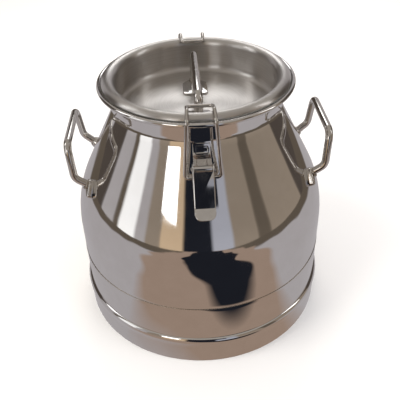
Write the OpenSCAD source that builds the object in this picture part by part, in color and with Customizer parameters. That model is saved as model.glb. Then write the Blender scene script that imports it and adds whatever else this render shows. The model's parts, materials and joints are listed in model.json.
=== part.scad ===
// Stainless milk can: welded body on a foot ring, recessed lid with a clamp rim,
// two rod side handles and two toggle latches that hook over the lid.
// Z is up, the body's axis is the Z axis and the can stands on z = 0.
// The latches sit on the -Y and +Y sides, the carrying handles on -X and +X.

/* [Body] */
// Outside radius of the cylinder
body_r = 175; // [165:1:185]
// Sheet thickness of the body
sheet = 1.5; // [1:0.1:2]
// Height of the seam between the drawn bottom and the upper shell
seam_z = 102.2; // [90:0.1:120]
// Height where the cylinder turns into the shoulder
shoulder_z = 145.3; // [135:0.1:155]
// Radius of the shoulder's curve
shoulder_r = 168.6; // [150:0.1:190]
// Slope of the cone away from upright, in degrees
cone_tilt = 27.08; // [25:0.01:29]
// Outside radius of the neck
neck_r = 109.5; // [108.5:0.1:110.5]

/* [Foot] */
// Outside radius of the foot ring's skirt
foot_r = 176.8; // [176.5:0.1:178]
// Height of the rolled bead's centre
foot_bead_z = 39.3; // [36:0.1:42]
// Height of the can's bottom above the floor
bottom_z = 20; // [12:0.5:26]

/* [Mouth] */
// Radius to the centre of the mouth's rolled edge
mouth_edge_r = 124.4; // [124:0.1:125]
// Height of the centre of the mouth's rolled edge
mouth_edge_z = 346.2; // [346:0.1:347]
// Radius of the rolled edge's section
mouth_edge_t = 2.95; // [2.5:0.05:3]

/* [Lid] */
// Radius to the centre of the lid's roll
lid_roll_r = 113.45; // [113:0.05:114]
// Height of the centre of the lid's roll
lid_roll_z = 346.85; // [346:0.05:347.5]
// Outside radius of the roll's section
lid_roll_t = 8.82; // [8.5:0.01:9]
// Sheet thickness of the lid
lid_sheet = 1.2; // [1:0.1:1.5]
// Height of the lid's sunken floor
lid_floor_z = 310; // [306:0.5:318]
// Half the length of the lid handle, to the centre of its legs
lid_grip_y = 66; // [58:1:72]
// Diameter of the lid handle's rod
lid_rod_d = 11; // [9:0.5:12]

/* [Side handles] */
// Diameter of the handle rod
rod_d = 10; // [8:0.5:11]
// Radius of the rod's bends
rod_bend = 14; // [10:1:16]
// Half the distance between the feet of one handle
handle_foot_y = 54; // [50:1:58]
// Half the width of the grip
handle_grip_y = 49; // [45:1:52]
// How far out the grip stands
handle_grip_x = 169.5; // [166:0.5:170]
// Height of the grip
handle_grip_z = 284; // [275:1:290]

/* [Latches] */
// Width of the lever
lever_w = 25; // [24:0.5:26]
// Length of the lever's flat face
lever_len = 46; // [42:1:50]
// Diameter of the bail wire
wire_d = 4.5; // [4:0.1:4.6]
// Half the distance between the bail's legs at the rim
bail_top_x = 15.5; // [15.5:0.1:16.5]
// Half the distance between the bail's legs at the lever
bail_low_x = 22; // [21:0.5:23]
// Radial clearance of pins in their holes
pin_gap = 0.05; // [0.02:0.01:0.09]

/* [Hidden] */
$fn = 64;

steel = [0.80, 0.80, 0.81];
polished = [0.86, 0.86, 0.87];
satin = [0.68, 0.67, 0.66];
silicone = [0.90, 0.90, 0.88];

// Where the shoulder's curve ends, and the cone above it.
shoulder_cx = body_r - shoulder_r;
cone_low_r = shoulder_cx + shoulder_r * cos(cone_tilt);
cone_low_z = shoulder_z + shoulder_r * sin(cone_tilt);
cone_top_z = cone_low_z + (cone_low_r - neck_r) / tan(cone_tilt);
neck_blend = 30;
neck_blend_c = [neck_r + neck_blend, cone_top_z + neck_blend * tan(cone_tilt / 2)];

// The floor ring's section.
foot_bead_r = 7.3;
foot_bead_cx = 171.7;
foot_hem = 5.8;

// The latch, in its own plane: r outward, z up.
pivot = [138, 297];       // lever pin
hook = [136, 283.5];      // bail's hooks in the lever
bail_bar = [101.7, 356.3]; // crossbar inside the rim
bail_top = [114, 360.2];  // highest point of the legs
bail_bend = [130.5, 354]; // where the legs turn down outside the rim
pin_r = 2.5;
knuckle_r = 4.5;
lever_sheet = 1.5;
lever_face = 5.5;         // inner side of the lever's face, from the pin
lever_top = 2.8;          // where the face starts, down the lever from the pin
plate_w = 21;
plate_sheet = 1.6;
plate_ramp_z = 301;
lever_down = [sin(cone_tilt), -cos(cone_tilt)];
lever_out = [cos(cone_tilt), sin(cone_tilt)];

function cone_r(z) = cone_low_r - (z - cone_low_z) * tan(cone_tilt);
function unit(v) = v / norm(v);
function arc(c, r, a0, a1, n) = [for (i = [0:n]) let (a = a0 + (a1 - a0) * i / n) c + r * [cos(a), sin(a)]];
function left(v) = [-v.y, v.x];

// Offset of point i of a line of points, to the left by t, with mitred corners.
function shifted(p, i, t) =
    let (last = len(p) - 1,
         a = left(unit(p[min(i + 1, last)] - p[min(i, last - 1)])),
         b = left(unit(p[max(i, 1)] - p[max(i - 1, 0)])),
         m = unit(a + b))
    p[i] + m * t / (m * a);

// Outline of a sheet of thickness t, left of the line of points p.
function sheet_outline(p, t) = concat(p, [for (i = [len(p) - 1:-1:0]) shifted(p, i, t)]);

function corner_angle(p, i) = acos(unit(p[i] - p[i - 1]) * unit(p[i + 1] - p[i]));

// Points with directions, [point, direction], round the bend at corner i of p.
function bend_rings(p, i, bend) =
    let (turn = corner_angle(p, i),
         u = unit(p[i] - p[i - 1]),
         v = unit(p[i + 1] - p[i]),
         c = p[i] + unit(v - u) * bend / cos(turn / 2),
         x = unit(p[i] - u * bend * tan(turn / 2) - c),
         n = ceil(turn / 14))
    [for (k = [0:n]) let (a = turn * k / n)
        [c + bend * (x * cos(a) + u * sin(a)), u * cos(a) - x * sin(a)]];

function rod_rings(p, bend) = concat(
    [[p[0], unit(p[1] - p[0])]],
    [for (i = [1:len(p) - 2]) each bend_rings(p, i, bend)],
    [[p[len(p) - 1], unit(p[len(p) - 1] - p[len(p) - 2])]]
);

// A sideways direction at every ring, carried along without twisting.
function carried(x, d) = unit(x - d * (x * d));
function ring_sides(rings, x) = [
    for (i = 0, s = carried(x, rings[0][1]); i < len(rings);
         i = i + 1, s = i < len(rings) ? carried(s, rings[i][1]) : s) s
];

// A round rod along straight runs p, with bends of radius bend at its corners.
module bent_rod(p, r, bend, sides = 16) {
    rings = rod_rings(p, bend);
    across_dir = ring_sides(rings, [0.3, 0.9, 0.2]);
    points = [for (i = [0:len(rings) - 1], k = [0:sides - 1])
        let (a = 360 * k / sides, x = across_dir[i], y = cross(rings[i][1], x))
        rings[i][0] + r * (x * cos(a) + y * sin(a))];
    walls = [for (i = [0:len(rings) - 2], k = [0:sides - 1])
        let (next = (k + 1) % sides)
        [i * sides + k, (i + 1) * sides + k, (i + 1) * sides + next, i * sides + next]];
    start = [for (k = [0:sides - 1]) k];
    end = [for (k = [sides - 1:-1:0]) (len(rings) - 1) * sides + k];
    polyhedron(points, concat([start], walls, [end]));
}

// Body

module lower_shell() color(polished) {
    fillet = 18;
    outside = concat(
        [[0, bottom_z]],
        arc([body_r - fillet, bottom_z + fillet], fillet, -90, 0, 10),
        [[body_r, seam_z]]
    );
    rotate_extrude($fn = 128) polygon(sheet_outline(outside, sheet));
}

module body_weld_seam() color(steel)
    rotate_extrude($fn = 128) intersection() {
        translate([body_r - 0.4, seam_z]) circle(0.8, $fn = 24);
        translate([body_r, seam_z - 2]) square([2, 4]);
    }

module upper_shell() color(polished) {
    flange_bend = 6;
    flange_z = mouth_edge_z - mouth_edge_t + 0.3;
    outside = concat(
        [[body_r, seam_z]],
        arc([shoulder_cx, shoulder_z], shoulder_r, 0, cone_tilt, 16),
        arc(neck_blend_c, neck_blend, 180 + cone_tilt, 180, 8),
        arc([neck_r + flange_bend, flange_z - flange_bend], flange_bend, 180, 90, 8),
        [[mouth_edge_r, flange_z]]
    );
    rotate_extrude($fn = 128) union() {
        polygon(sheet_outline(outside, sheet));
        translate([mouth_edge_r, mouth_edge_z]) circle(mouth_edge_t, $fn = 32);
    }
}

module foot_ring() color(polished)
    rotate_extrude($fn = 128) {
        translate([foot_r - sheet, 0]) square([sheet, foot_bead_z - 4]);
        translate([foot_r - foot_hem, 0]) square([foot_hem, sheet]);
        intersection() {
            difference() {
                translate([foot_bead_cx, foot_bead_z]) circle(foot_bead_r, $fn = 48);
                translate([foot_bead_cx, foot_bead_z]) circle(foot_bead_r - sheet, $fn = 48);
            }
            translate([body_r, foot_bead_z - 5.2]) square([foot_bead_r, 2 * foot_bead_r]);
        }
    }

// Side handles

handle_foot_z = 224;
handle_foot_x = sqrt(pow(cone_r(handle_foot_z), 2) - pow(handle_foot_y, 2));
handle_low = [165.5, 57, 239];
side_pad_h = 7;
foot_normal_a = atan2(handle_foot_y, handle_foot_x);
foot_out = [
    cos(foot_normal_a) * cos(cone_tilt),
    sin(foot_normal_a) * cos(cone_tilt),
    sin(cone_tilt)
];
handle_path = [
    [handle_foot_x, handle_foot_y, handle_foot_z] + foot_out * 2,
    handle_low,
    [handle_grip_x, handle_grip_y, handle_grip_z],
    [handle_grip_x, -handle_grip_y, handle_grip_z],
    [handle_low.x, -handle_low.y, handle_low.z],
    [handle_foot_x, -handle_foot_y, handle_foot_z] + [foot_out.x, -foot_out.y, foot_out.z] * 2
];

module handle_rod() bent_rod(handle_path, rod_d / 2, rod_bend);

// One teardrop foot, on the side given by the sign of y; tip down and away.
module handle_pad(sy) color(polished)
    difference() {
        translate([handle_foot_x, sy * handle_foot_y, handle_foot_z])
            rotate([0, 90 - cone_tilt, sy * foot_normal_a])
                rotate(sy * 48)
                    linear_extrude(side_pad_h) union() {
                        circle(8);
                        translate([14, 0]) circle(4);
                        polygon([[1, -8], [15, -3.87], [15, 3.87], [1, 8]]);
                    }
        handle_rod();
    }

module side_handle_right() color(polished) handle_rod();
module side_handle_left() color(polished) mirror([1, 0, 0]) handle_rod();
module right_front_pad() handle_pad(-1);
module right_rear_pad() handle_pad(1);
module left_front_pad() mirror([1, 0, 0]) handle_pad(-1);
module left_rear_pad() mirror([1, 0, 0]) handle_pad(1);

// Lid

module lid_pan() color(satin) {
    fillet = 9;
    wall_r = lid_roll_r - lid_roll_t;
    lip_a = 11.5;
    face = concat(
        [[0, lid_floor_z]],
        arc([wall_r - fillet, lid_floor_z + fillet], fillet, -90, 0, 8),
        arc([lid_roll_r, lid_roll_z], lid_roll_t, 180, lip_a, 24)
    );
    rotate_extrude($fn = 128) polygon(sheet_outline(face, -lid_sheet));
}

module lid_gasket() color(silicone)
    rotate_extrude($fn = 128) translate([110.6, mouth_edge_z - 0.9]) square([5.2, 5.4]);

lid_pad_h = 2.4;

module lid_handle() color(polished) {
    top = lid_roll_z + lid_roll_t - lid_rod_d / 2 + 2;
    foot = lid_floor_z + lid_pad_h;
    bent_rod([
        [0, -lid_grip_y, foot], [0, -lid_grip_y, top],
        [0, lid_grip_y, top], [0, lid_grip_y, foot]
    ], lid_rod_d / 2, 10);
}

// Pad welded under one leg of the lid handle, on the side given by the sign of y.
module lid_handle_pad(sy) color(polished)
    rotate(sy > 0 ? 180 : 0) translate([0, -lid_grip_y, lid_floor_z])
        linear_extrude(lid_pad_h) union() {
            circle(8);
            polygon([[-8, 0], [8, 0], [17, 9], [17, 42], [-17, 42], [-17, 9]]);
        }

module lid_handle_pad_front() lid_handle_pad(-1);
module lid_handle_pad_rear() lid_handle_pad(1);

// Latches: drawn on the -Y side, then turned half round for the rear one.

// Extrudes an outline of [r, z] points across the latch, w wide.
module across(w) rotate([90, 0, -90]) linear_extrude(w, center = true) children();
function in_lever(t, n) = pivot + lever_down * t + lever_out * n;

module latch_plate() color(polished) {
    foot = [cone_r(plate_ramp_z) + 0.15, plate_ramp_z];
    // the top follows the neck's blend
    head = arc(neck_blend_c, neck_blend - 0.15, 180 + cone_tilt / 2, 180 + cone_tilt, 4);
    edge = pivot + (knuckle_r - plate_sheet) * [-sin(12), cos(12)];
    difference() {
        across(plate_w) union() {
            polygon(sheet_outline(concat(head, [foot, edge]), plate_sheet));
            translate(pivot) circle(knuckle_r);
        }
        across(plate_w + 2) translate(pivot) circle(pin_r);
    }
    // raised frame pressed into the plate's flat face
    frame_h = 1.0;
    frame_z = 307;
    translate([0, -cone_r(frame_z), frame_z])
        rotate([90 - cone_tilt, 0, 0])
            translate([0, 0, plate_sheet * 0.9]) linear_extrude(frame_h) difference() {
                square([16, 10], center = true);
                square([14, 8], center = true);
            }
}

module latch_pin() color(steel)
    translate([0, -pivot.x, pivot.y]) rotate([0, 90, 0]) {
        cylinder(r = pin_r, h = lever_w + 1.2, center = true);
        for (s = [-1, 1])
            translate([0, 0, s * (lever_w / 2 + 1.1)]) cylinder(r = 3.6, h = 1.4, center = true);
    }

module latch_lever() color(polished) {
    back = lever_face + lever_sheet;
    hook_t = (hook - pivot) * lever_down;
    hook_n = (hook - pivot) * lever_out;
    cheek = lever_w / 2 - lever_sheet / 2;
    tip_turn = 20;
    tip_len = 15;
    fold = in_lever(lever_len, lever_face);
    tip_dir = [cos(tip_turn) * lever_down.x + sin(tip_turn) * lever_out.x,
               cos(tip_turn) * lever_down.y + sin(tip_turn) * lever_out.y];
    difference() {
        union() {
            across(lever_w) polygon([
                in_lever(lever_top, lever_face), in_lever(lever_top, back),
                in_lever(lever_len, back), fold
            ]);
            for (s = [-1, 1]) translate([s * cheek, 0, 0]) across(lever_sheet) union() {
                translate(pivot) circle(5.6);
                translate(hook) circle(4.6);
                polygon([
                    in_lever(-3, 4.7), in_lever(1, back), in_lever(lever_len, back),
                    in_lever(lever_len, back - 4), in_lever(26, -1),
                    in_lever(hook_t + 4, hook_n - 2.2), in_lever(hook_t - 3, hook_n - 3.4),
                    in_lever(-4.9, -2.6)
                ]);
            }
        }
        across(lever_w + 2) translate(pivot) circle(pin_r + pin_gap);
        across(lever_w + 2) translate(hook) circle(wire_d / 2 + pin_gap);
    }
    // rounded tip, turned away from the body for the fingers
    tip_round = 9;
    intersection() {
        across(lever_w) polygon(sheet_outline(
            [fold, fold + tip_dir * tip_len], lever_sheet));
        translate([0, -fold.x, fold.y])
            rotate([-atan2(tip_dir.x, -tip_dir.y), 0, 0]) rotate([90, 0, 0])
                linear_extrude(30, center = true) union() {
                    translate([-lever_w / 2, tip_round - tip_len]) square([lever_w, tip_len - tip_round + 2]);
                    translate([tip_round - lever_w / 2, -tip_len])
                        square([lever_w - 2 * tip_round, tip_round]);
                    for (s = [-1, 1])
                        translate([s * (lever_w / 2 - tip_round), tip_round - tip_len]) circle(tip_round);
                }
    }
}

function at_x(p, x) = [x, -p.x, p.y];

// The wire, with a straight hook at each end that turns in the lever's cheeks.
module latch_bail() color(steel) {
    wire = wire_d / 2;
    hook_in = lever_w / 2 - 2;
    hook_out = lever_w / 2 + 2.5;
    for (s = [-1, 1])
        translate(at_x(hook, s * (hook_in + hook_out) / 2))
            rotate([0, 90, 0]) cylinder(r = wire, h = hook_out - hook_in, center = true);
    bent_rod([
        at_x(hook, -hook_out), at_x(hook, -bail_low_x),
        at_x(bail_bend, -bail_top_x - 1), at_x(bail_top, -bail_top_x),
        at_x(bail_bar, -bail_top_x), at_x(bail_bar, bail_top_x),
        at_x(bail_top, bail_top_x), at_x(bail_bend, bail_top_x + 1),
        at_x(hook, bail_low_x), at_x(hook, hook_out)
    ], wire, 4, 12);
}

module to_rear() rotate(180) children();

module front_latch_plate() latch_plate();
module front_latch_pin() latch_pin();
module front_latch_lever() latch_lever();
module front_latch_bail() latch_bail();
module rear_latch_plate() to_rear() latch_plate();
module rear_latch_pin() to_rear() latch_pin();
module rear_latch_lever() to_rear() latch_lever();
module rear_latch_bail() to_rear() latch_bail();

lower_shell();
body_weld_seam();
upper_shell();
foot_ring();
side_handle_left();
side_handle_right();
left_front_pad();
left_rear_pad();
right_front_pad();
right_rear_pad();
lid_pan();
lid_gasket();
lid_handle();
lid_handle_pad_front();
lid_handle_pad_rear();
front_latch_plate();
front_latch_pin();
front_latch_lever();
front_latch_bail();
rear_latch_plate();
rear_latch_pin();
rear_latch_lever();
rear_latch_bail();
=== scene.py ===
import json
import math

import bmesh
import bpy
from mathutils import Matrix, Vector


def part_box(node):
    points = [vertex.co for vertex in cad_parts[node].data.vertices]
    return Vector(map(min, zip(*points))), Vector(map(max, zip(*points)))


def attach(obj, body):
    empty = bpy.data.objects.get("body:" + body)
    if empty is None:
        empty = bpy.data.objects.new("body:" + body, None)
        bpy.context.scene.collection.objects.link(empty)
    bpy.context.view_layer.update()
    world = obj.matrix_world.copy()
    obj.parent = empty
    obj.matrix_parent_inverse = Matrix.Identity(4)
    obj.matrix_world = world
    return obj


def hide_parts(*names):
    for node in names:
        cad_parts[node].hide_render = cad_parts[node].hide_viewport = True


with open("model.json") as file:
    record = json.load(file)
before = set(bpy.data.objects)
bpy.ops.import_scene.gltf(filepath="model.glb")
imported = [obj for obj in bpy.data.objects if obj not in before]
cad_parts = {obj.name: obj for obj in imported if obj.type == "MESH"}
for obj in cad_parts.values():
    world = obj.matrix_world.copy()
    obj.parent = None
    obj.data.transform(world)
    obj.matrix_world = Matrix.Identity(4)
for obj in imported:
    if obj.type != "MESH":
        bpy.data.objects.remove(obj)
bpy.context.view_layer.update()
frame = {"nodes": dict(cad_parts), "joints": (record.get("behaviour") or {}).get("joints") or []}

MM = 0.001
TAU = 2 * math.pi


# ---------------------------------------------------------------- sizes
# In metres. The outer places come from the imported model, the rest from its drawing.

joints = {joint["name"]: joint for joint in frame["joints"]}
BODY_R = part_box("upper_shell")[1].x
SEAM_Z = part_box("lower_shell")[1].z
BOTTOM_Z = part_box("lower_shell")[0].z
FOOT_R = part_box("foot_ring")[1].x
MOUTH_TOP_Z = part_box("upper_shell")[1].z
LID_TOP_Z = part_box("lid_pan")[1].z
LID_ROLL_OUT_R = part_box("lid_pan")[1].x
LID_UNDER_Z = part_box("lid_pan")[0].z

SHEET = 1.5 * MM
LID_SHEET = 1.2 * MM
CONE_TILT = math.radians(27.08)
SHOULDER_R = 168.6 * MM
SHOULDER_Z = 145.3 * MM
NECK_R = 109.5 * MM
NECK_BLEND = 30 * MM
MOUTH_EDGE_T = 2.95 * MM
LID_ROLL_T = 8.82 * MM
LID_FILLET = 9 * MM

shoulder_cx = BODY_R - SHOULDER_R
cone_low_r = shoulder_cx + SHOULDER_R * math.cos(CONE_TILT)
cone_low_z = SHOULDER_Z + SHOULDER_R * math.sin(CONE_TILT)
cone_top_z = cone_low_z + (cone_low_r - NECK_R) / math.tan(CONE_TILT)
blend_centre = (NECK_R + NECK_BLEND, cone_top_z + NECK_BLEND * math.tan(CONE_TILT / 2))
mouth_edge_z = MOUTH_TOP_Z - MOUTH_EDGE_T
mouth_edge_r = 124.4 * MM
lid_roll_r = 113.45 * MM
lid_roll_z = LID_TOP_Z - LID_ROLL_T
lid_floor_z = LID_UNDER_Z + LID_SHEET


def cone_r(z):
    """Outside radius of the cone at height z."""
    return cone_low_r - (z - cone_low_z) * math.tan(CONE_TILT)


# ---------------------------------------------------------------- camera

def place_camera():
    """Looks down at the can from in front, about 37 degrees below level."""
    distance = 0.6890
    height = 0.6656
    orbit = math.radians(-2.0)
    pitch = math.radians(36.85)
    roll = math.radians(-1.99)
    ahead = Vector((0, math.cos(pitch), -math.sin(pitch)))
    side = Vector((1, 0, 0))
    up = side.cross(ahead)
    right = math.cos(roll) * side + math.sin(roll) * up
    top = -math.sin(roll) * side + math.cos(roll) * up
    turn = Matrix((right, top, -ahead)).transposed().to_4x4()
    camera = bpy.data.objects.new("camera", bpy.data.cameras.new("camera"))
    camera.data.sensor_width = 36
    camera.data.lens = 51.95
    camera.matrix_world = (
        Matrix.Rotation(orbit, 4, "Z")
        @ Matrix.Translation((0, -distance, height))
        @ turn
    )
    bpy.context.scene.collection.objects.link(camera)
    bpy.context.scene.camera = camera


# ---------------------------------------------------------------- materials

def linear(hex_colour):
    """An sRGB hex colour as linear RGBA."""
    parts = [int(hex_colour[i:i + 2], 16) / 255 for i in (1, 3, 5)]
    lin = [c / 12.92 if c <= 0.04045 else ((c + 0.055) / 1.055) ** 2.4 for c in parts]
    return (*lin, 1.0)


def add(tree, kind, inputs=None, **settings):
    """Adds a node. An input that is a socket is linked, any other is set."""
    made = tree.nodes.new(kind)
    for key, value in settings.items():
        setattr(made, key, value)
    for key, value in (inputs or {}).items():
        if isinstance(value, bpy.types.NodeSocket):
            tree.links.new(value, made.inputs[key])
        else:
            made.inputs[key].default_value = value
    return made


def new_material(name):
    """An empty material, its tree and its Principled shader."""
    material = bpy.data.materials.new(name)
    material.use_nodes = True
    tree = material.node_tree
    return material, tree, tree.nodes["Principled BSDF"]


def ramp(tree, value, low, high, out_low, out_high):
    """Maps value from low..high to out_low..out_high."""
    return add(tree, "ShaderNodeMapRange", {
        "Value": value, "From Min": low, "From Max": high,
        "To Min": out_low, "To Max": out_high,
    }).outputs["Result"]


def turned_coordinates(tree):
    """Object coordinates as radius, height and angle round the can's axis."""
    where = add(tree, "ShaderNodeTexCoord").outputs["Object"]
    parts = add(tree, "ShaderNodeSeparateXYZ", {"Vector": where})
    flat = add(tree, "ShaderNodeCombineXYZ", {"X": parts.outputs["X"], "Y": parts.outputs["Y"]})
    radius = add(tree, "ShaderNodeVectorMath", {0: flat.outputs[0]}, operation="LENGTH").outputs["Value"]
    angle = add(tree, "ShaderNodeMath", {0: parts.outputs["Y"], 1: parts.outputs["X"]},
                operation="ARCTAN2").outputs[0]
    return where, radius, parts.outputs["Z"], angle


def mirror_stainless():
    """Deep drawn sheet, ground and buffed to a mirror: sharp reflections that sway a little
    where the sheet isn't quite true, with faint buffing lines running round the can."""
    dents = 0.3 * MM
    rough = 0.035
    material, tree, shader = new_material("stainless steel, mirror polished")
    where, radius, height, angle = turned_coordinates(tree)
    shader.inputs["Metallic"].default_value = 1.0
    sway = add(tree, "ShaderNodeTexNoise", {"Vector": where, "Scale": 1 / (55 * MM), "Detail": 1.0})
    haze = add(tree, "ShaderNodeTexNoise", {"Vector": where, "Scale": 1 / (22 * MM), "Detail": 4.0})
    # buffing lines: fine along the height, long round the can
    round_can = add(tree, "ShaderNodeMath", {0: angle, 1: 0.004}, operation="MULTIPLY").outputs[0]
    lines_at = add(tree, "ShaderNodeCombineXYZ", {"X": height, "Y": round_can, "Z": radius})
    lines = add(tree, "ShaderNodeTexNoise", {
        "Vector": lines_at.outputs[0], "Scale": 1 / (0.9 * MM), "Detail": 3.0})
    tint = add(tree, "ShaderNodeMix", {
        "Factor": haze.outputs["Fac"], "A": linear("#dedbd8"), "B": linear("#e9e7e6"),
    }, data_type="RGBA")
    tree.links.new(tint.outputs["Result"], shader.inputs["Base Color"])
    tree.links.new(ramp(tree, haze.outputs["Fac"], 0.3, 0.75, rough, rough * 2.4),
                   shader.inputs["Roughness"])
    bump_low = add(tree, "ShaderNodeBump", {
        "Height": sway.outputs["Fac"], "Strength": 1.0, "Distance": dents})
    bump_fine = add(tree, "ShaderNodeBump", {
        "Height": lines.outputs["Fac"], "Strength": 0.5, "Distance": 0.002 * MM,
        "Normal": bump_low.outputs["Normal"]})
    tree.links.new(bump_fine.outputs["Normal"], shader.inputs["Normal"])
    return material


def turned_stainless():
    """Spun sheet finished with abrasive while it turned: satin, with rings round the axis
    that spread each highlight across them into bright streaks."""
    material, tree, shader = new_material("stainless steel, spun and satin finished")
    where, radius, height, angle = turned_coordinates(tree)
    shader.inputs["Metallic"].default_value = 1.0
    shader.inputs["Anisotropic"].default_value = 0.85
    shader.inputs["Anisotropic Rotation"].default_value = 0.25
    round_lid = add(tree, "ShaderNodeMath", {0: angle, 1: 0.003}, operation="MULTIPLY").outputs[0]
    rings_at = add(tree, "ShaderNodeCombineXYZ", {"X": radius, "Y": round_lid, "Z": height})
    # real grit lines are about 0.05 mm wide; these are 1.5 mm so that they show
    rings = add(tree, "ShaderNodeTexNoise", {
        "Vector": rings_at.outputs[0], "Scale": 1 / (1.5 * MM), "Detail": 2.0})
    clouds = add(tree, "ShaderNodeTexNoise", {"Vector": where, "Scale": 1 / (35 * MM), "Detail": 3.0})
    tone = add(tree, "ShaderNodeMix", {
        "Factor": rings.outputs["Fac"], "A": linear("#c6c2be"), "B": linear("#e0ddda"),
    }, data_type="RGBA")
    tree.links.new(tone.outputs["Result"], shader.inputs["Base Color"])
    tree.links.new(ramp(tree, clouds.outputs["Fac"], 0.3, 0.7, 0.30, 0.34), shader.inputs["Roughness"])
    bump = add(tree, "ShaderNodeBump", {
        "Height": rings.outputs["Fac"], "Strength": 0.3, "Distance": 0.004 * MM})
    tree.links.new(bump.outputs["Normal"], shader.inputs["Normal"])
    tangent = add(tree, "ShaderNodeTangent", direction_type="RADIAL", axis="Z")
    tree.links.new(tangent.outputs["Tangent"], shader.inputs["Tangent"])
    return material


def drawn_rod():
    """Cold drawn round bar and wire, bent and barrel polished: bright, slightly soft
    reflections and a little scuffing."""
    material, tree, shader = new_material("stainless rod, drawn and polished")
    where = add(tree, "ShaderNodeTexCoord").outputs["Object"]
    scuffs = add(tree, "ShaderNodeTexNoise", {"Vector": where, "Scale": 1 / (6 * MM), "Detail": 5.0})
    shader.inputs["Metallic"].default_value = 1.0
    tint = add(tree, "ShaderNodeMix", {
        "Factor": scuffs.outputs["Fac"], "A": linear("#cbc6c0"), "B": linear("#e2dfdb"),
    }, data_type="RGBA")
    tree.links.new(tint.outputs["Result"], shader.inputs["Base Color"])
    tree.links.new(ramp(tree, scuffs.outputs["Fac"], 0.3, 0.75, 0.07, 0.17), shader.inputs["Roughness"])
    bump = add(tree, "ShaderNodeBump", {
        "Height": scuffs.outputs["Fac"], "Strength": 0.4, "Distance": 0.03 * MM})
    tree.links.new(bump.outputs["Normal"], shader.inputs["Normal"])
    return material


def pressed_stainless():
    """Blanked and pressed strip, tumbled bright: mirror faces with a faint grain along
    the strip and a few duller patches."""
    material, tree, shader = new_material("stainless strip, pressed and tumbled")
    where = add(tree, "ShaderNodeTexCoord").outputs["Object"]
    grain_at = add(tree, "ShaderNodeMapping", {"Vector": where, "Scale": (1.0, 0.06, 0.06)})
    grain = add(tree, "ShaderNodeTexNoise", {
        "Vector": grain_at.outputs[0], "Scale": 1 / (0.8 * MM), "Detail": 3.0})
    dull = add(tree, "ShaderNodeTexNoise", {"Vector": where, "Scale": 1 / (9 * MM), "Detail": 3.0})
    shader.inputs["Metallic"].default_value = 1.0
    tint = add(tree, "ShaderNodeMix", {
        "Factor": dull.outputs["Fac"], "A": linear("#d2cfcc"), "B": linear("#e6e4e2"),
    }, data_type="RGBA")
    tree.links.new(tint.outputs["Result"], shader.inputs["Base Color"])
    tree.links.new(ramp(tree, dull.outputs["Fac"], 0.3, 0.75, 0.05, 0.13), shader.inputs["Roughness"])
    bump = add(tree, "ShaderNodeBump", {
        "Height": grain.outputs["Fac"], "Strength": 0.5, "Distance": 0.008 * MM})
    tree.links.new(bump.outputs["Normal"], shader.inputs["Normal"])
    return material


def weld_bead():
    """Weld metal left as laid and wire brushed: rippled, greyer and duller than the sheet,
    with a straw tint."""
    material, tree, shader = new_material("stainless weld, wire brushed")
    where = add(tree, "ShaderNodeTexCoord").outputs["Object"]
    ripples = add(tree, "ShaderNodeTexNoise", {"Vector": where, "Scale": 1 / (1.6 * MM), "Detail": 2.0})
    shader.inputs["Metallic"].default_value = 1.0
    tint = add(tree, "ShaderNodeMix", {
        "Factor": ripples.outputs["Fac"], "A": linear("#8f8880"), "B": linear("#cfc5b8"),
    }, data_type="RGBA")
    tree.links.new(tint.outputs["Result"], shader.inputs["Base Color"])
    tree.links.new(ramp(tree, ripples.outputs["Fac"], 0.3, 0.7, 0.2, 0.4), shader.inputs["Roughness"])
    bump = add(tree, "ShaderNodeBump", {
        "Height": ripples.outputs["Fac"], "Strength": 0.8, "Distance": 0.3 * MM})
    tree.links.new(bump.outputs["Normal"], shader.inputs["Normal"])
    return material


def silicone():
    """Moulded food grade silicone: milky white, soft sheen, faint flow marks."""
    material, tree, shader = new_material("silicone rubber, moulded white")
    where = add(tree, "ShaderNodeTexCoord").outputs["Object"]
    flow = add(tree, "ShaderNodeTexNoise", {"Vector": where, "Scale": 1 / (8 * MM), "Detail": 3.0})
    tint = add(tree, "ShaderNodeMix", {
        "Factor": flow.outputs["Fac"], "A": linear("#dcdad2"), "B": linear("#eceae4"),
    }, data_type="RGBA")
    tree.links.new(tint.outputs["Result"], shader.inputs["Base Color"])
    tree.links.new(ramp(tree, flow.outputs["Fac"], 0.3, 0.7, 0.42, 0.55), shader.inputs["Roughness"])
    shader.inputs["IOR"].default_value = 1.41
    return material


# ---------------------------------------------------------------- mesh tools

def finish_piece(bm, name, material, body, nodes=(), sharp=35):
    """Turns a bmesh into a smooth-shaded piece that rides on a body and replaces CAD nodes."""
    bmesh.ops.remove_doubles(bm, verts=bm.verts, dist=0.001 * MM)
    bmesh.ops.recalc_face_normals(bm, faces=bm.faces)
    if bm.calc_volume(signed=True) < 0:
        bmesh.ops.reverse_faces(bm, faces=bm.faces)
    mesh = bpy.data.meshes.new(name)
    bm.to_mesh(mesh)
    bm.free()
    for face in mesh.polygons:
        face.use_smooth = True
    mesh.set_sharp_from_angle(angle=math.radians(sharp))
    mesh.materials.append(material)
    piece = bpy.data.objects.new(name, mesh)
    bpy.context.scene.collection.objects.link(piece)
    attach(piece, body)
    if nodes:
        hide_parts(*nodes)
    return piece


def arc(cx, cz, radius, start, end, steps):
    """Points on an arc in the (radius, height) plane, angles in degrees."""
    angles = [math.radians(start + (end - start) * i / steps) for i in range(steps + 1)]
    return [(cx + radius * math.cos(a), cz + radius * math.sin(a)) for a in angles]


def filled_in(points):
    """The same line with its long straight runs cut into short ones."""
    longest = 6 * MM
    out = [points[0]]
    for (x0, z0), (x1, z1) in zip(points, points[1:]):
        parts = max(1, math.ceil(math.hypot(x1 - x0, z1 - z0) / longest))
        out += [(x0 + (x1 - x0) * i / parts, z0 + (z1 - z0) * i / parts) for i in range(1, parts + 1)]
    return out


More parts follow.
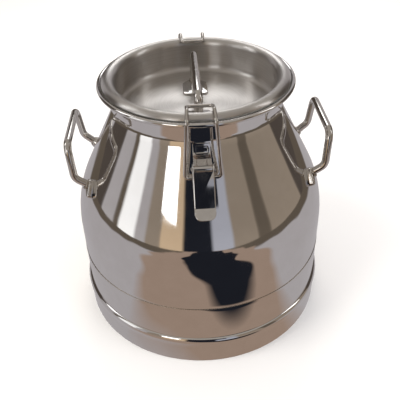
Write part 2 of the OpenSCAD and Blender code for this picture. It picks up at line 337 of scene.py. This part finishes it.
def sheet_outline(points, thickness):
    """Outline of a sheet that lies left of the line of points, with mitred corners."""
    back = []
    for i, (x, z) in enumerate(points):
        before = Vector(points[max(i, 1)]) - Vector(points[max(i - 1, 0)])
        after = Vector(points[min(i + 1, len(points) - 1)]) - Vector(points[min(i, len(points) - 2)])
        a = Vector((-before.y, before.x)).normalized()
        b = Vector((-after.y, after.x)).normalized()
        middle = (a + b).normalized()
        offset = middle * thickness / max(middle.dot(a), 0.3)
        back.append((x + offset.x, z + offset.y))
    return points + back[::-1]


def spun(bm, outline, closed, steps=192):
    """Spins an outline of (radius, height) points round the Z axis."""
    verts = [bm.verts.new((x, 0, z)) for x, z in outline]
    pairs = list(zip(verts, verts[1:])) + ([(verts[-1], verts[0])] if closed else [])
    edges = [bm.edges.new(pair) for pair in pairs]
    bmesh.ops.spin(bm, geom=verts + edges, cent=(0, 0, 0), axis=(0, 0, 1), angle=TAU,
                   steps=steps, use_merge=True, use_duplicate=False)


def once(things):
    """A list of the things without repeats, in the order they come."""
    return list(dict.fromkeys(things))


def bent_rod(bm, path, radius, bend, sides=24):
    """A round rod along straight runs, with round bends at the corners and closed ends."""
    bend_step = math.radians(6)
    path = [Vector(p) for p in path]
    ahead = (path[1] - path[0]).normalized()
    at = Matrix.Translation(path[0]) @ ahead.to_track_quat("Z", "Y").to_matrix().to_4x4()
    verts = bmesh.ops.create_circle(bm, cap_ends=True, segments=sides, radius=radius, matrix=at)["verts"]
    edges = once(e for v in verts for e in v.link_edges)
    here = path[0]
    for i in range(1, len(path)):
        u = (path[i] - path[i - 1]).normalized()
        turn = 0.0
        if i < len(path) - 1:
            v = (path[i + 1] - path[i]).normalized()
            turn = u.angle(v)
        back = bend * math.tan(turn / 2)
        end = path[i] - u * back
        made = bmesh.ops.extrude_edge_only(bm, edges=edges)["geom"]
        verts = [g for g in made if isinstance(g, bmesh.types.BMVert)]
        edges = [g for g in made if isinstance(g, bmesh.types.BMEdge) and set(g.verts) <= set(verts)]
        bmesh.ops.translate(bm, verts=verts, vec=end - here)
        here = end
        if turn > 0.001:
            axis = u.cross(v).normalized()
            made = bmesh.ops.spin(
                bm, geom=verts + edges, cent=end + axis.cross(u) * bend, axis=axis, angle=turn,
                steps=math.ceil(turn / bend_step), use_duplicate=False)["geom_last"]
            edges = [g for g in made if isinstance(g, bmesh.types.BMEdge)]
            here = path[i] + v * back
    bmesh.ops.edgeloop_fill(bm, edges=edges)


def slab(bm, outline, thickness, matrix, rounding, segments=3, both=True):
    """A flat plate: outline in its own XY plane, raised along Z, with a rounded rim on
    its top and, if both, on its underside."""
    verts = [bm.verts.new((x, y, 0)) for x, y in outline]
    face = bm.faces.new(verts)
    made = bmesh.ops.extrude_face_region(bm, geom=[face])["geom"]
    top = [g for g in made if isinstance(g, bmesh.types.BMVert)]
    bmesh.ops.translate(bm, verts=top, vec=(0, 0, thickness))
    rims = [e for v in top for e in v.link_edges if set(e.verts) <= set(top)]
    if both:
        rims += [e for v in verts for e in v.link_edges if set(e.verts) <= set(verts)]
    bmesh.ops.transform(bm, matrix=matrix, verts=verts + top)
    if rounding:
        bmesh.ops.bevel(bm, geom=once(rims), offset=rounding, offset_type="OFFSET",
                        segments=segments, profile=0.5, material=-1, affect="EDGES")


def ring_bead(bm, centre, normal, radius, bead):
    """A bead of weld round a rod."""
    steps = 36
    sides = 12
    turn = Vector(normal).to_track_quat("Z", "Y").to_matrix().to_4x4()
    at = Matrix.Translation(centre) @ turn
    flat = at @ Matrix.Translation((radius, 0, 0)) @ Matrix.Rotation(math.pi / 2, 4, "X")
    verts = bmesh.ops.create_circle(bm, segments=sides, radius=bead, matrix=flat)["verts"]
    edges = once(e for v in verts for e in v.link_edges)
    bmesh.ops.spin(bm, geom=verts + edges, cent=centre, axis=at.to_3x3() @ Vector((0, 0, 1)),
                   angle=TAU, steps=steps, use_merge=True, use_duplicate=False)


# ---------------------------------------------------------------- body

def lower_shell():
    """The can below its seam: a flat bottom turned up through a round corner."""
    fillet = 18 * MM
    outside = filled_in(
        [(0, BOTTOM_Z)]
        + arc(BODY_R - fillet, BOTTOM_Z + fillet, fillet, -90, 0, 16)
        + [(BODY_R, SEAM_Z - 0.5 * MM), (BODY_R - 0.2 * MM, SEAM_Z)]
    )
    bm = bmesh.new()
    spun(bm, sheet_outline(outside, SHEET), closed=False)
    finish_piece(bm, "lower_shell", polished, "can", ["lower_shell"])


def body_seam():
    """The ring weld, ground nearly flush: a fine line round the body."""
    bm = bmesh.new()
    spun(bm, [(BODY_R - 0.6 * MM, SEAM_Z - 0.9 * MM)]
         + arc(BODY_R - 0.15 * MM, SEAM_Z, 0.55 * MM, -60, 60, 6)
         + [(BODY_R - 0.6 * MM, SEAM_Z + 0.9 * MM)], closed=True)
    finish_piece(bm, "body_weld_seam", weld, "can", ["body_weld_seam"])


def upper_shell():
    """Shoulder, cone and neck in one sheet, turned out to a flange with a rolled mouth."""
    bend = 6 * MM
    flange_z = mouth_edge_z - MOUTH_EDGE_T + 0.3 * MM
    lip = arc(mouth_edge_r, mouth_edge_z, MOUTH_EDGE_T, -75, 150, 16)
    outside = (
        [(BODY_R - 0.2 * MM, SEAM_Z), (BODY_R, SEAM_Z + 0.5 * MM)]
        + arc(shoulder_cx, SHOULDER_Z, SHOULDER_R, 0, math.degrees(CONE_TILT), 40)
        + arc(*blend_centre, NECK_BLEND, 180 + math.degrees(CONE_TILT), 180, 12)
        + arc(NECK_R + bend, flange_z - bend, bend, 180, 90, 8)
    )
    outside = filled_in(outside)
    outline = sheet_outline(outside, SHEET)
    bm = bmesh.new()
    spun(bm, outline[:len(outside)] + lip + outline[len(outside):], closed=True)
    finish_piece(bm, "upper_shell", polished, "can", ["upper_shell"])


def foot_ring():
    """A skirt under the can, hemmed in at the floor, with a half-round bead at its top."""
    bead = 7.3 * MM
    bead_cx = FOOT_R - bead
    bead_z = 39.3 * MM
    skirt_r = 176.8 * MM
    hem = 5.8 * MM
    low_a = -math.degrees(math.acos((skirt_r - bead_cx) / bead))
    top_a = math.degrees(math.acos((BODY_R - bead_cx) / bead))
    outside = (
        arc(skirt_r - hem + SHEET / 2, SHEET / 2, SHEET / 2, -180, -90, 4)
        + arc(skirt_r - SHEET, SHEET, SHEET, -90, 0, 6)
        + [(skirt_r, bead_z + bead * math.sin(math.radians(low_a)) - 0.6 * MM)]
        + arc(bead_cx, bead_z, bead, low_a + 4, top_a, 24)
    )
    inner = bead - SHEET
    inner_top_a = math.degrees(math.acos((BODY_R - bead_cx) / inner))
    inside = (
        arc(bead_cx, bead_z, inner, inner_top_a, low_a - 12, 14)
        + [(skirt_r - SHEET, bead_z - bead), (skirt_r - SHEET, SHEET), (skirt_r - hem + SHEET / 2, SHEET)]
    )
    bm = bmesh.new()
    spun(bm, filled_in(outside) + inside, closed=True)
    finish_piece(bm, "foot_ring", polished, "can", ["foot_ring"], sharp=50)


# ---------------------------------------------------------------- side handles

def side_point(p, side, end):
    """A point of the right handle's rear end, brought to either side and either end."""
    return Vector((side * p.x, end * p.y, p.z))


def side_handles():
    """Two bent rods, each welded to the cone through a teardrop foot at both ends."""
    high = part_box("side_handle_right")[1]
    rod_r = 5 * MM
    grip = Vector((high.x - rod_r - 0.02 * MM, 49 * MM, high.z - rod_r))
    elbow = Vector((165.5 * MM, 57 * MM, 239 * MM))
    foot_z = 224 * MM
    foot_y = 54 * MM
    foot = Vector((math.sqrt(cone_r(foot_z) ** 2 - foot_y ** 2), foot_y, foot_z))
    round_a = math.atan2(foot.y, foot.x)
    out = Vector((math.cos(round_a) * math.cos(CONE_TILT), math.sin(round_a) * math.cos(CONE_TILT),
                  math.sin(CONE_TILT)))
    toward = (elbow - foot).normalized()
    rod_bend = 14 * MM
    rod_start = foot + out * 2 * MM
    pad_h = 6.8 * MM
    pad_round = 2.6 * MM
    pad_turn = math.radians(48)
    bead = 1.5 * MM
    tail = 14 * MM
    wide = 8 * MM
    narrow = 4 * MM
    lean = math.degrees(math.asin((wide - narrow) / tail))
    drop = arc(0, 0, wide, 90 - lean, 270 + lean, 22) + arc(tail, 0, narrow, -90 + lean, 90 - lean, 12)
    half_rod = [rod_start, elbow, grip]
    for sign, side in ((1, "right"), (-1, "left")):
        bm = bmesh.new()
        rear = [side_point(p, sign, 1) for p in half_rod]
        front = [side_point(p, sign, -1) for p in half_rod[::-1]]
        bent_rod(bm, rear + front, rod_r, rod_bend)
        finish_piece(bm, f"side_handle_{side}", rod, "can", [f"side_handle_{side}"])
        for end, place in ((-1, "front"), (1, "rear")):
            bm = bmesh.new()
            axes = Matrix.Rotation(end * round_a, 4, "Z") @ Matrix.Rotation(math.pi / 2 - CONE_TILT, 4, "Y")
            at = Matrix.Translation((foot.x, end * foot.y, foot.z)) @ axes
            at = at @ Matrix.Rotation(pad_turn * end, 4, "Z")
            slab(bm, drop, pad_h, at, pad_round, 6, both=False)
            if sign < 0:
                bmesh.ops.transform(bm, matrix=Matrix.Scale(-1, 4, (1, 0, 0)), verts=bm.verts)
            finish_piece(bm, f"{side}_{place}_pad", rod, "can", [f"{side}_{place}_pad"])
            bm = bmesh.new()
            seat = side_point(foot + out * pad_h + toward * 0.4 * MM, sign, end)
            ring_bead(bm, seat, side_point(toward, sign, end), rod_r + 0.2 * MM, bead)
            finish_piece(bm, f"{side}_{place}_weld", weld, "can")


# ---------------------------------------------------------------- lid

def lid_pan():
    """A flat dished floor, a wall and a broad rolled rim, spun from one sheet."""
    wall_r = lid_roll_r - LID_ROLL_T
    lip_a = math.degrees(math.acos((LID_ROLL_OUT_R - lid_roll_r) / LID_ROLL_T))
    face = (
        [(0, lid_floor_z)]
        + arc(wall_r - LID_FILLET, lid_floor_z + LID_FILLET, LID_FILLET, -90, 0, 14)
        + arc(lid_roll_r, lid_roll_z, LID_ROLL_T, 180, lip_a + 11.5, 40)
    )
    bm = bmesh.new()
    spun(bm, sheet_outline(filled_in(face), -LID_SHEET), closed=False)
    finish_piece(bm, "lid_pan", satin, "lid", ["lid_pan"])


def lid_handle():
    """A rod bent twice, its legs welded to the lid's floor through two shaped pads."""
    low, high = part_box("lid_handle")
    rod_r = 5.5 * MM
    rod_bend = 10 * MM
    bead = 1.6 * MM
    pad_round = 1.0 * MM
    leg_y = high.y - rod_r
    grip_z = high.z - rod_r
    bm = bmesh.new()
    bent_rod(bm, [(0, -leg_y, low.z), (0, -leg_y, grip_z), (0, leg_y, grip_z), (0, leg_y, low.z)],
             rod_r, rod_bend, sides=32)
    finish_piece(bm, "lid_handle", rod, "lid", ["lid_handle"])
    for end, place in ((-1, "front"), (1, "rear")):
        pad_low, pad_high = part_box(f"lid_handle_pad_{place}")
        wide = pad_high.x
        nose = 8 * MM
        length = pad_high.y - pad_low.y - nose
        corner = 5 * MM
        widest_y = 9 * MM
        outline = (
            arc(0, 0, nose, 180 + 10, 360 - 10, 16)
            + [(wide, widest_y)]
            + arc(wide - corner, length - corner, corner, 0, 90, 6)
            + arc(corner - wide, length - corner, corner, 90, 180, 6)
            + [(-wide, widest_y)]
        )
        turn = Matrix.Rotation(0 if end < 0 else math.pi, 4, "Z")
        at = turn @ Matrix.Translation((0, -leg_y, lid_floor_z))
        bm = bmesh.new()
        slab(bm, outline, pad_high.z - lid_floor_z, at, pad_round, 4, both=False)
        finish_piece(bm, f"lid_handle_pad_{place}", pressed, "lid",
                     [f"lid_handle_pad_{place}"])
        bm = bmesh.new()
        seat = Vector((0, end * leg_y, low.z + 0.4 * MM))
        ring_bead(bm, seat, Vector((0, 0, 1)), rod_r + 0.3 * MM, bead)
        finish_piece(bm, f"lid_handle_{place}_weld", weld, "lid")


# ---------------------------------------------------------------- latches
# Drawn in the (r, z) plane of the front latch, at y = -r. The rear one is turned half round.


def joint_place(name):
    """Where a front latch's joint is, as (r, z)."""
    at = joints[name]["pos_m"]
    return Vector((-at[1], at[2]))


pivot = joint_place("front_lever_hinge")
hook = joint_place("front_bail_hinge")
lever_down = Vector((math.sin(CONE_TILT), -math.cos(CONE_TILT)))
lever_out = Vector((math.cos(CONE_TILT), math.sin(CONE_TILT)))
LEVER_W = 25 * MM
LEVER_LEN = 46 * MM
LEVER_SHEET = 1.5 * MM
LEVER_FACE = 5.5 * MM
LEVER_TOP = 2.8 * MM
WIRE_R = 2.25 * MM
PIN_R = 2.5 * MM
KNUCKLE_R = 4.5 * MM
PLATE_W = 21 * MM
PLATE_SHEET = 1.6 * MM


def in_lever(t, n):
    """A point t down the lever from its pin and n out from the can, given in mm."""
    return pivot + lever_down * t * MM + lever_out * n * MM


def across(bm, outline, width, rounding, segments=3):
    """A solid with an outline of (r, z) points, width wide across the latch."""
    at = Matrix(((0, 0, 1, -width / 2), (-1, 0, 0, 0), (0, 1, 0, 0), (0, 0, 0, 1)))
    slab(bm, [tuple(p) for p in outline], width, at, rounding, segments)


def carve(piece, cutter):
    """Cuts one object out of another and gives what is left as a bmesh."""
    modifier = piece.modifiers.new("carve", "BOOLEAN")
    modifier.operation = "DIFFERENCE"
    modifier.solver = "EXACT"
    modifier.object = cutter
    bpy.context.view_layer.update()
    shape = piece.evaluated_get(bpy.context.evaluated_depsgraph_get())
    bm = bmesh.new()
    bm.from_mesh(shape.to_mesh())
    shape.to_mesh_clear()
    for o in (piece, cutter):
        bpy.data.objects.remove(o)
    return bm


def loose(bm, name):
    """A bmesh as a plain object, for cutting."""
    bmesh.ops.recalc_face_normals(bm, faces=bm.faces)
    mesh = bpy.data.meshes.new(name)
    bm.to_mesh(mesh)
    bm.free()
    made = bpy.data.objects.new(name, mesh)
    bpy.context.scene.collection.objects.link(made)
    return made


def circle_rz(centre, radius, start, end, steps):
    """An arc round a point of the (r, z) plane, as vectors."""
    return [Vector(p) for p in arc(centre.x, centre.y, radius, start, end, steps)]


def latch_lever():
    """Pressed channel: a face, two cheeks round the pin and the hooks, and a turned-out tip."""
    back = (LEVER_FACE + LEVER_SHEET) / MM
    top = LEVER_TOP / MM
    tip = LEVER_LEN / MM
    face = LEVER_FACE / MM
    tilt = math.degrees(CONE_TILT)
    hook_t = (hook - pivot).dot(lever_down) / MM
    hook_n = (hook - pivot).dot(lever_out) / MM
    side = (
        circle_rz(pivot, 5.6 * MM, 190, 60, 10)
        + [in_lever(top, back), in_lever(tip, back), in_lever(tip, back - 4),
           in_lever(38, 1.2), in_lever(26, -1), in_lever(hook_t + 4.2, hook_n + 1.5)]
        + circle_rz(hook, 4.6 * MM, -tilt - 30, -tilt - 150, 8)
    )
    bm = bmesh.new()
    across(bm, side, LEVER_W, 1.2 * MM, segments=4)
    block = loose(bm, "lever_block")
    bm = bmesh.new()
    # all that lies behind the face, and all that lies above its top edge
    room = [in_lever(-30, -40), in_lever(70, -40), in_lever(70, face),
            in_lever(top, face), in_lever(top, 30), in_lever(-30, 30)]
    across(bm, room, LEVER_W - 2 * LEVER_SHEET, 0)
    bm = carve(block, loose(bm, "lever_room"))
    tip_turn = math.radians(20)
    tip_len = 15 * MM
    rounding = 9 * MM
    tip_dir = math.cos(tip_turn) * lever_down + math.sin(tip_turn) * lever_out
    fold = in_lever(tip - 0.6, face)
    half = LEVER_W / 2
    outline = (
        [(-half, 0), (-half, -(tip_len - rounding))]
        + arc(-half + rounding, -(tip_len - rounding), rounding, 180, 270, 8)
        + arc(half - rounding, -(tip_len - rounding), rounding, 270, 360, 8)
        + [(half, 0)]
    )
    along = Vector((0, -tip_dir.x, tip_dir.y))
    x = Vector((1, 0, 0))
    y = -along
    z = x.cross(y)
    at = Matrix((x, y, z)).transposed().to_4x4()
    at.translation = Vector((0, -fold.x, fold.y))
    slab(bm, outline, LEVER_SHEET, at, 0.5 * MM)
    return bm


def latch_plate():
    """Pressed plate on the cone with a raised frame, turned out to a rolled knuckle."""
    ramp_z = 301 * MM
    tilt = math.degrees(CONE_TILT)
    foot = Vector((cone_r(ramp_z) + 0.15 * MM, ramp_z))
    lean = math.radians(12)
    edge = pivot + (KNUCKLE_R - PLATE_SHEET) * Vector((-math.sin(lean), math.cos(lean)))
    head = arc(*blend_centre, NECK_BLEND - 0.15 * MM, 180 + tilt / 2, 180 + tilt, 4)
    soft = foot - lever_down * 2 * MM
    ramp_dir = (edge - foot).normalized()
    line = head + [soft, foot + (soft - foot) * 0.3 + ramp_dir * 0.8 * MM, foot + ramp_dir * 3 * MM, edge]
    bm = bmesh.new()
    across(bm, sheet_outline([tuple(p) for p in line], PLATE_SHEET), PLATE_W, 0.4 * MM)
    roll = circle_rz(pivot, KNUCKLE_R, 0, 360, 32)[:-1]
    across(bm, roll, PLATE_W, 0.5 * MM)
    frame_z = 307 * MM
    middle = Vector((cone_r(frame_z), frame_z)) + lever_out * PLATE_SHEET * 0.95
    at = Matrix.Translation((0, -middle.x, middle.y)) @ Matrix.Rotation(math.pi / 2 - CONE_TILT, 4, "X")
    half_w = 8 * MM
    half_h = 5 * MM
    corner = 1.8 * MM
    raised = 0.9 * MM
    border = 1.1 * MM
    sunk = 0.7 * MM
    outline = []
    for cx, cy, a in ((1, 1, 0), (-1, 1, 90), (-1, -1, 180), (1, -1, 270)):
        outline += arc(cx * (half_w - corner), cy * (half_h - corner), corner, a, a + 90, 5)
    verts = [bm.verts.new((px, py, 0)) for px, py in outline]
    face = bm.faces.new(verts)
    made = bmesh.ops.extrude_face_region(bm, geom=[face])["geom"]
    top = [g for g in made if isinstance(g, bmesh.types.BMVert)]
    lid = [g for g in made if isinstance(g, bmesh.types.BMFace)]
    bmesh.ops.translate(bm, verts=top, vec=(0, 0, raised))
    bmesh.ops.inset_region(bm, faces=lid, thickness=border, depth=0)
    bmesh.ops.inset_region(bm, faces=lid, thickness=0.2 * MM, depth=-sunk)
    framed = set(verts + top) | {v for f in lid for v in f.verts}
    framed |= {v for f in bm.faces for v in f.verts if set(f.verts) & framed}
    bmesh.ops.transform(bm, matrix=at, verts=[v for v in bm.verts if v in framed])
    return bm


def latch_pin():
    """Riveted pin: a shank with a low domed head at each end."""
    half = LEVER_W / 2
    seat = half + 0.4 * MM
    dome = arc(0, seat - 4.6 * MM, 6.0 * MM, 37, 90, 8)
    outline = [(PIN_R, 0), (PIN_R, seat), (3.6 * MM, seat)] + [(x * 0.75, max(z, seat)) for x, z in dome]
    outline[-1] = (0, outline[-1][1])
    bm = bmesh.new()
    spun(bm, [(x, -z) for x, z in outline[::-1]] + outline[1:], closed=False, steps=32)
    turn = Matrix.Rotation(math.pi / 2, 4, "Y")
    bmesh.ops.transform(bm, matrix=Matrix.Translation((0, -pivot.x, pivot.y)) @ turn, verts=bm.verts)
    return bm


def bail_point(p, x):
    """A point of the latch's (r, z) plane, moved x across it."""
    return Vector((x, -p.x, p.y))


def latch_bail():
    """One wire: hooked into the lever's cheeks, up past the rim, over the lid's roll."""
    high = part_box("front_latch_bail")[1]
    bar = Vector((-high.y - WIRE_R, 356.3 * MM))
    over = Vector((114 * MM, high.z - WIRE_R + 0.4 * MM))
    turn_down = Vector((130.5 * MM, 354 * MM))
    top_x = 15.5 * MM
    low_x = high.x - WIRE_R
    hook_x = LEVER_W / 2 - 2 * MM
    wire_bend = 5.2 * MM
    half = [(hook, hook_x), (hook, low_x), (turn_down, top_x + 1 * MM), (over, top_x), (bar, top_x)]
    path = [bail_point(p, -x) for p, x in half] + [bail_point(p, x) for p, x in half[::-1]]
    bm = bmesh.new()
    bent_rod(bm, path, WIRE_R, wire_bend, sides=20)
    return bm


def latches():
    """Both latches, piece by piece."""
    parts = (
        ("plate", latch_plate, pressed, "can"),
        ("pin", latch_pin, rod, "can"),
        ("lever", latch_lever, pressed, "{}_lever"),
        ("bail", latch_bail, rod, "{}_bail"),
    )
    for end, turn in (("front", 0), ("rear", math.pi)):
        for part, build, material, body in parts:
            bm = build()
            bmesh.ops.rotate(bm, cent=(0, 0, 0), matrix=Matrix.Rotation(turn, 3, "Z"), verts=bm.verts)
            node = f"{end}_latch_{part}"
            finish_piece(bm, node, material, body.format(end), [node])


# ---------------------------------------------------------------- studio

def empty_tree(name):
    """A material with no nodes yet, and its tree."""
    material = bpy.data.materials.new(name)
    material.use_nodes = True
    material.node_tree.nodes.clear()
    return material, material.node_tree


def shine(tree, colour, strength):
    """Ends a material's tree in plain light."""
    light = add(tree, "ShaderNodeEmission", {"Color": colour, "Strength": strength})
    add(tree, "ShaderNodeOutputMaterial", {"Surface": light.outputs[0]})


def glow(name, colour, strength):
    """A plain light card's material."""
    material, tree = empty_tree(name)
    shine(tree, linear(colour), strength)
    return material


def only_mirrored(obj):
    """Makes an object show in the steel, and nowhere else."""
    obj.visible_camera = False
    obj.visible_diffuse = False
    obj.visible_shadow = False
    obj.visible_transmission = False
    obj.visible_volume_scatter = False


def stage_object(bm, name, material):
    """An object of the studio, made from a bmesh."""
    mesh = bpy.data.meshes.new(name)
    bm.to_mesh(mesh)
    bm.free()
    mesh.materials.append(material)
    obj = bpy.data.objects.new(name, mesh)
    bpy.context.scene.collection.objects.link(obj)
    return obj


PALE = "#a6a2a3"
WARM = "#8b7f72"
SAND = "#c3ab8e"
BROWN = "#5e554b"
COOL = "#a4a6b0"
DARK = "#4a433e"
NIGHT = "#1d1f26"
WHITE = "#ffffff"
ROOM_R = 1.7
ROOM_H = 1.4


def soft_steps(tree, value, steps, soft):
    """A colour ramp of plain bands with soft edges. Steps are (start, colour), start 0..1."""
    bands = add(tree, "ShaderNodeValToRGB", {"Fac": value})
    stops = bands.color_ramp.elements
    stops[0].position = steps[0][0]
    stops[0].color = linear(steps[0][1])
    stops.remove(stops[1])
    for (_, before), (start, colour) in zip(steps, steps[1:]):
        stops.new(start - soft).color = linear(before)
        stops.new(start + soft).color = linear(colour)
    return bands.outputs["Color"]


def room_wall():
    """A ring of plain panels for the steel to mirror, given by the degrees round from the
    front at which each starts."""
    panels = (
        (-180, DARK), (-150, PALE), (-128, DARK), (-98, PALE), (-82, BROWN), (-76, WHITE),
        (-59, PALE), (-49, WARM), (-36, SAND), (-17, NIGHT), (7, COOL), (24, WARM), (46, BROWN),
        (58, WARM), (98, DARK), (135, PALE),
    )
    soft = 0.0022
    material, tree = empty_tree("panels round the studio")
    where = add(tree, "ShaderNodeTexCoord").outputs["Object"]
    parts = add(tree, "ShaderNodeSeparateXYZ", {"Vector": where})
    ahead = add(tree, "ShaderNodeMath", {0: parts.outputs["Y"], 1: -1.0}, operation="MULTIPLY").outputs[0]
    turn = add(tree, "ShaderNodeMath", {0: parts.outputs["X"], 1: ahead}, operation="ARCTAN2").outputs[0]
    round_wall = ramp(tree, turn, -math.pi, math.pi, 0, 1)
    colour = soft_steps(tree, round_wall, [(a / 360 + 0.5, c) for a, c in panels], soft)
    shine(tree, colour, ramp(tree, parts.outputs["Z"], 0.0, ROOM_H, 1.25, 0.95))
    bm = bmesh.new()
    edge = bm.edges.new([bm.verts.new((0, ROOM_R, z)) for z in (0, ROOM_H)])
    bmesh.ops.spin(bm, geom=list(edge.verts) + [edge], cent=(0, 0, 0), axis=(0, 0, 1), angle=TAU,
                   steps=120, use_merge=True, use_duplicate=False)
    only_mirrored(stage_object(bm, "room_wall", material))


def patch(tree, place, centre, size, edge):
    """One inside an ellipse, nought outside it, with a soft edge."""
    away = add(tree, "ShaderNodeVectorMath", {0: place, 1: (-centre[0], -centre[1], 0)}, operation="ADD")
    scaled = add(tree, "ShaderNodeVectorMath", {0: away.outputs[0], 1: (1 / size[0], 1 / size[1], 0)},
                 operation="MULTIPLY")
    far = add(tree, "ShaderNodeVectorMath", {0: scaled.outputs[0]}, operation="LENGTH").outputs["Value"]
    return ramp(tree, far, 1 - edge, 1 + edge, 1, 0)


def mirrored_floor():
    """What the belly mirrors: a grey floor, a brown mat in front and the shade on it."""
    material, tree = empty_tree("grey floor with a brown mat in shade")
    where = add(tree, "ShaderNodeTexCoord").outputs["Object"]
    swirl = add(tree, "ShaderNodeTexNoise", {"Vector": where, "Scale": 4.0, "Detail": 0.0})
    bent = add(tree, "ShaderNodeVectorMath", {0: swirl.outputs["Color"], 1: (0.26, 0.26, 0.0)},
               operation="MULTIPLY").outputs[0]
    place = add(tree, "ShaderNodeVectorMath", {0: where, 1: bent}, operation="ADD").outputs[0]
    colour = linear(BROWN)
    for centre, size, edge, inside in (
        ((0.1, 0.1), (0.95, 0.95), 0.05, "#aba7a9"),
        ((0.16, -0.86), (0.62, 0.87), 0.03, "#9c887a"),
        ((0.19, -0.89), (0.31, 0.77), 0.03, NIGHT),
    ):
        colour = add(tree, "ShaderNodeMix", {
            "Factor": patch(tree, place, centre, size, edge), "A": colour, "B": linear(inside),
        }, data_type="RGBA").outputs["Result"]
    shine(tree, colour, 1.1)
    above_floor = 0.4 * MM
    bm = bmesh.new()
    bmesh.ops.create_grid(bm, x_segments=1, y_segments=1, size=ROOM_R,
                          matrix=Matrix.Translation((0, 0, above_floor)))
    only_mirrored(stage_object(bm, "mirrored_floor", material))


def card(name, middle, size, colour, strength):
    """A flat rectangular card that faces the can."""
    facing = Vector((0, 0, 0.3))
    middle = Vector(middle)
    turn = (facing - middle).to_track_quat("Z", "Y").to_matrix().to_4x4()
    bm = bmesh.new()
    bmesh.ops.create_grid(bm, x_segments=1, y_segments=1, size=0.5,
                          matrix=Matrix.Translation(middle) @ turn @ Matrix.Diagonal((*size, 1, 1)))
    only_mirrored(stage_object(bm, name, glow(name, colour, strength)))


def studio():
    """A pale floor, what the steel mirrors, soft room light and three lamps."""
    bm = bmesh.new()
    bmesh.ops.create_grid(bm, x_segments=1, y_segments=1, size=6)
    material, _, shader = new_material("pale floor")
    shader.inputs["Base Color"].default_value = linear("#f4f3f2")
    shader.inputs["Roughness"].default_value = 0.9
    floor = stage_object(bm, "floor", material)
    floor.visible_glossy = False

    room_wall()
    mirrored_floor()
    bm = bmesh.new()
    bmesh.ops.create_circle(bm, cap_ends=True, segments=64, radius=ROOM_R,
                            matrix=Matrix.Translation((0, 0, ROOM_H)))
    only_mirrored(stage_object(bm, "ceiling", glow("ceiling", "#a8a29b", 1.0)))
    card("window_front_left", (-0.80, -1.35, 0.86), (0.42, 0.55), WHITE, 2.4)
    card("dark_flag", (0.05, -1.45, 0.84), (0.72, 0.40), NIGHT, 1.0)
    card("softbox_back", (0.05, 1.2, 1.30), (0.50, 0.6), WHITE, 3.0)
    card("softbox_left", (-1.15, 0.1, 1.2), (0.25, 0.9), WHITE, 2.6)
    card("softbox_right", (1.25, -0.1, 1.0), (0.18, 0.9), WHITE, 2.2)

    world = bpy.data.worlds.new("soft room light")
    world.use_nodes = True
    background = world.node_tree.nodes["Background"]
    background.inputs["Color"].default_value = linear("#f1efee")
    background.inputs["Strength"].default_value = 0.85
    bpy.context.scene.world = world

    for name, where, size, power, colour in (
        ("key", (-1.1, -0.5, 1.9), 0.8, 20, "#fffaf2"),
        ("fill", (1.2, -0.9, 1.7), 1.2, 14, "#f6f8ff"),
        ("back", (0.1, 1.4, 1.5), 1.0, 12, "#fff6ea"),
    ):
        lamp = bpy.data.lights.new(name, "AREA")
        lamp.size = size
        lamp.energy = power
        lamp.color = linear(colour)[:3]
        obj = bpy.data.objects.new(name, lamp)
        obj.location = where
        obj.rotation_euler = (Vector((0, 0, 0.2)) - Vector(where)).to_track_quat("-Z", "Y").to_euler()
        obj.visible_glossy = False
        bpy.context.scene.collection.objects.link(obj)


# ---------------------------------------------------------------- the object

place_camera()
bpy.context.scene.view_settings.view_transform = "Standard"

polished = mirror_stainless()
satin = turned_stainless()
rod = drawn_rod()
pressed = pressed_stainless()
weld = weld_bead()
gasket = silicone()

lower_shell()
body_seam()
upper_shell()
foot_ring()
side_handles()
lid_pan()
lid_handle()
latches()

gasket_mesh = frame["nodes"]["lid_gasket"].data
gasket_mesh.materials.clear()
gasket_mesh.materials.append(gasket)

studio()
